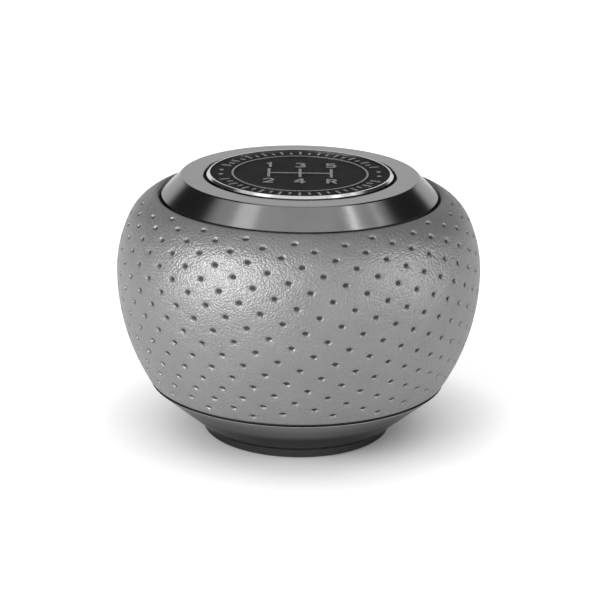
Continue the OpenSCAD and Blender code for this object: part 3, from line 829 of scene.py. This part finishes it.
def badge_metal_finish():
    metal = Finish("struck_metal", grey(0.6), 0.2, 1.0)
    fine = metal.noise(0.15 * MM, detail=3)
    rings, radius = ring_pattern(metal, 0.2 * MM)
    rim = metal.spread(radius, 0, 1, RIM_STARTS - RIM_BLEND, RIM_STARTS)
    tone = metal.sum(metal.spread(rim, 0.2, 0.8), fine, 0.08)
    metal.set("Base Color", metal.shades(tone, grey(0.2), grey(0.95), 0.2, 0.9))
    metal.set("Roughness", metal.spread(metal.sum(fine, rim, -0.8), 0.12, 0.34, -0.5, 0.9))
    metal.bump(fine, 0.002 * MM, 0.5)
    return metal


def enamel_finish():
    enamel = Finish("dark_enamel", grey(0.018), 0.6, Specular_IOR_Level=0.04)
    specks = enamel.noise(0.1 * MM)
    clouds = enamel.noise(3 * MM, detail=3)
    mottle = enamel.sum(clouds, specks, 0.3)
    enamel.set("Base Color", enamel.shades(mottle, grey(0.013), grey(0.024), 0.3, 1.0))
    enamel.set("Roughness", enamel.spread(specks, 0.54, 0.64))
    enamel.bump(specks, 0.004 * MM, 0.6)
    return enamel


dress(badge_metal_finish(), "badge_plate")
dress(enamel_finish(), "badge_enamel_center", "badge_enamel_band")

# %% [markdown]
# ## The pieces inside
# Most of these are never seen on the finished knob, but they are real pieces: moulded shells, a steel
# hub, black screws, soft pads. Each still gets a finish with some life in it, because the knob may be
# shown taken apart.


# %% Finishes for the inner pieces
def moulded_finish():
    plastic = Finish("black_moulding", grey(0.05), 0.5)
    spark = plastic.noise(0.3 * MM, detail=3)
    clouds = plastic.noise(8 * MM)
    plastic.set("Base Color", plastic.shades(clouds, (0.042, 0.042, 0.044), (0.062, 0.062, 0.065)))
    plastic.set("Roughness", plastic.spread(spark, 0.42, 0.6))
    plastic.bump(spark, 0.01 * MM, 0.7)
    return plastic


def soft_finish(name, dark, light, pore=0.4 * MM, roughness=0.9):
    """Foam or rubber, with pores of a size; the pores are painted darker, a painted shade."""
    foam = Finish(name, light, roughness)
    cells = foam.add("ShaderNodeTexVoronoi", {"Vector": foam.place, "Scale": 1 / pore}).outputs["Distance"]
    clouds = foam.noise(3 * MM, detail=3)
    # The colour is darker in the pores, where the bump sinks: painted shade, mixed with soft clouds of
    # tone.
    foam.set("Base Color", foam.shades(foam.sum(cells, clouds, 0.5), dark, light, 0.3, 1.0))
    foam.set("Roughness", foam.spread(cells, roughness - 0.08, roughness + 0.05))
    foam.bump(cells, 0.03 * MM, 0.7)
    return foam


def screw_finish():
    steel = Finish("black_screw_steel", grey(0.16), 0.36, 1.0)
    grain = steel.noise(0.2 * MM, detail=3)
    wear = steel.noise(1.5 * MM)
    steel.set("Base Color", steel.shades(wear, (0.1, 0.1, 0.105), (0.22, 0.22, 0.225), 0.35, 0.75))
    steel.set("Roughness", steel.spread(grain, 0.3, 0.46))
    steel.bump(grain, 0.004 * MM, 0.6)
    return steel


SCREWS = [f"{kind}_screw_{k}" for kind in ("bezel", "shell", "collar") for k in (1, 2, 3)]
dress(moulded_finish(), "upper_shell", "lower_shell")
dress(soft_finish("backing_foam", grey(0.008), grey(0.03)), "backing_pad")
dress(soft_finish("gap_rubber", grey(0.004), grey(0.012), 0.2 * MM, 0.7), "gap_ring")
dress(soft_finish("adhesive_foam", (0.6, 0.6, 0.57), (0.78, 0.78, 0.75), 0.3 * MM), "badge_adhesive")
dress(turned_finish("hub_steel", 0.45, 0.3, 0.6, 0.3 * MM, 0.002 * MM), "hub")
dress(screw_finish(), *SCREWS)

# %% [markdown]
# ## The thread for the lever
# The CAD model has a plain hole where the real sleeve has a thread. A thread is one tooth of its
# profile, swept round the axis while it climbs: Blender's spin does that when it is given a small step
# upwards. Each turn ends where the next begins, so merging doubles joins them into one surface.

# %% Sizes of the threaded sleeve, in millimetres
PITCH = 1.25
CREST_R = 4.375
ROOT_R = 5.05
SLEEVE_R = 7.0
SLEEVE_LOW = 1.0
SLEEVE_TOP = 23.9
MOUTH = 0.65
CHAMFER = 0.1
SLOT_LONG, SLOT_WIDE, SLOT_DEEP = 20, 2, 1.2
THREAD_STEPS = 48
# One turn of the profile, radius and height: along the crest, out to the root, and back in
TOOTH = ((CREST_R, 0), (CREST_R, 0.31), (ROOT_R, 0.7), (ROOT_R, 0.86), (CREST_R, PITCH))
print("the thread has", round((SLEEVE_TOP - SLEEVE_LOW) / PITCH, 1), "turns")


# %% Cut the thread
def thread_surface():
    """The wall of a threaded hole, longer than it needs to be."""
    bm = bmesh.new()
    turns = ceil((SLEEVE_TOP - SLEEVE_LOW) / PITCH) + 2
    start = SLEEVE_LOW - PITCH
    verts = [bm.verts.new((r, 0, start + z)) for r, z in TOOTH]
    edges = [bm.edges.new(pair) for pair in zip(verts, verts[1:])]
    bmesh.ops.spin(bm, geom=verts + edges, cent=(0, 0, 0), axis=(0, 0, 1), angle=2 * pi * turns,
                   dvec=(0, 0, PITCH / THREAD_STEPS), steps=THREAD_STEPS * turns, use_merge=False)
    bmesh.ops.remove_doubles(bm, verts=bm.verts[:], dist=1e-4)
    for z, up in ((SLEEVE_LOW + MOUTH, -1), (SLEEVE_TOP - MOUTH, 1)):
        bmesh.ops.bisect_plane(bm, geom=bm.verts[:] + bm.edges[:] + bm.faces[:], dist=1e-5,
                               plane_co=(0, 0, z), plane_no=(0, 0, up), clear_outer=True)
    return bm


def sleeve_end(bm, inner_z, end_z, outer_z):
    """Runs a rim of the thread out over the end's funnel, face and chamfer."""
    ring = open_rim(bm, inner_z, 1)
    for r, z in ((ROOT_R, end_z), (SLEEVE_R - CHAMFER, end_z), (SLEEVE_R, outer_z)):
        ring = grow(bm, ring, r, z, 1)
    return ring


def sleeve():
    """The whole sleeve, built in mm and then scaled to metres."""
    bm = thread_surface()
    low = sleeve_end(bm, SLEEVE_LOW + MOUTH, SLEEVE_LOW, SLEEVE_LOW + CHAMFER)
    top = sleeve_end(bm, SLEEVE_TOP - MOUTH, SLEEVE_TOP, SLEEVE_TOP - CHAMFER)
    bmesh.ops.bridge_loops(bm, edges=low + top)
    bmesh.ops.recalc_face_normals(bm, faces=bm.faces[:])
    bmesh.ops.scale(bm, verts=bm.verts[:], vec=(MM, MM, MM))
    return bm


def slot_cutter():
    """The bar that is cut away for the driver slot across the sleeve's lower end."""
    bm = bmesh.new()
    bmesh.ops.create_cube(bm, size=1)
    bmesh.ops.scale(bm, verts=bm.verts[:], vec=(SLOT_LONG * MM, SLOT_WIDE * MM, 2 * SLOT_DEEP * MM))
    bmesh.ops.translate(bm, verts=bm.verts[:], vec=(0, 0, SLEEVE_LOW * MM))
    mesh = bpy.data.meshes.new("slot_cutter")
    bm.to_mesh(mesh)
    bm.free()
    cutter = bpy.data.objects.new("slot_cutter", mesh)
    bpy.context.scene.collection.objects.link(cutter)
    return cutter


def cut_slot(bm):
    """Cuts the driver slot with a boolean, and gives the result back as a bmesh."""
    mesh = bpy.data.meshes.new("uncut_sleeve")
    bm.to_mesh(mesh)
    bm.free()
    uncut = bpy.data.objects.new("uncut_sleeve", mesh)
    bpy.context.scene.collection.objects.link(uncut)
    cutter = slot_cutter()
    boolean = uncut.modifiers.new("slot", "BOOLEAN")
    boolean.operation, boolean.solver, boolean.object = "DIFFERENCE", "EXACT", cutter
    result = bmesh.new()
    result.from_mesh(uncut.evaluated_get(bpy.context.evaluated_depsgraph_get()).to_mesh())
    bpy.data.objects.remove(uncut)
    bpy.data.objects.remove(cutter)
    return result


sleeve_finish = turned_finish("sleeve_metal", 0.62, 0.28, 0.5, 0.2 * MM, 0.001 * MM)
finish_mesh(cut_slot(sleeve()), "threaded_sleeve", [sleeve_finish], "thread_adapter")

# %% [markdown]
# ## The end
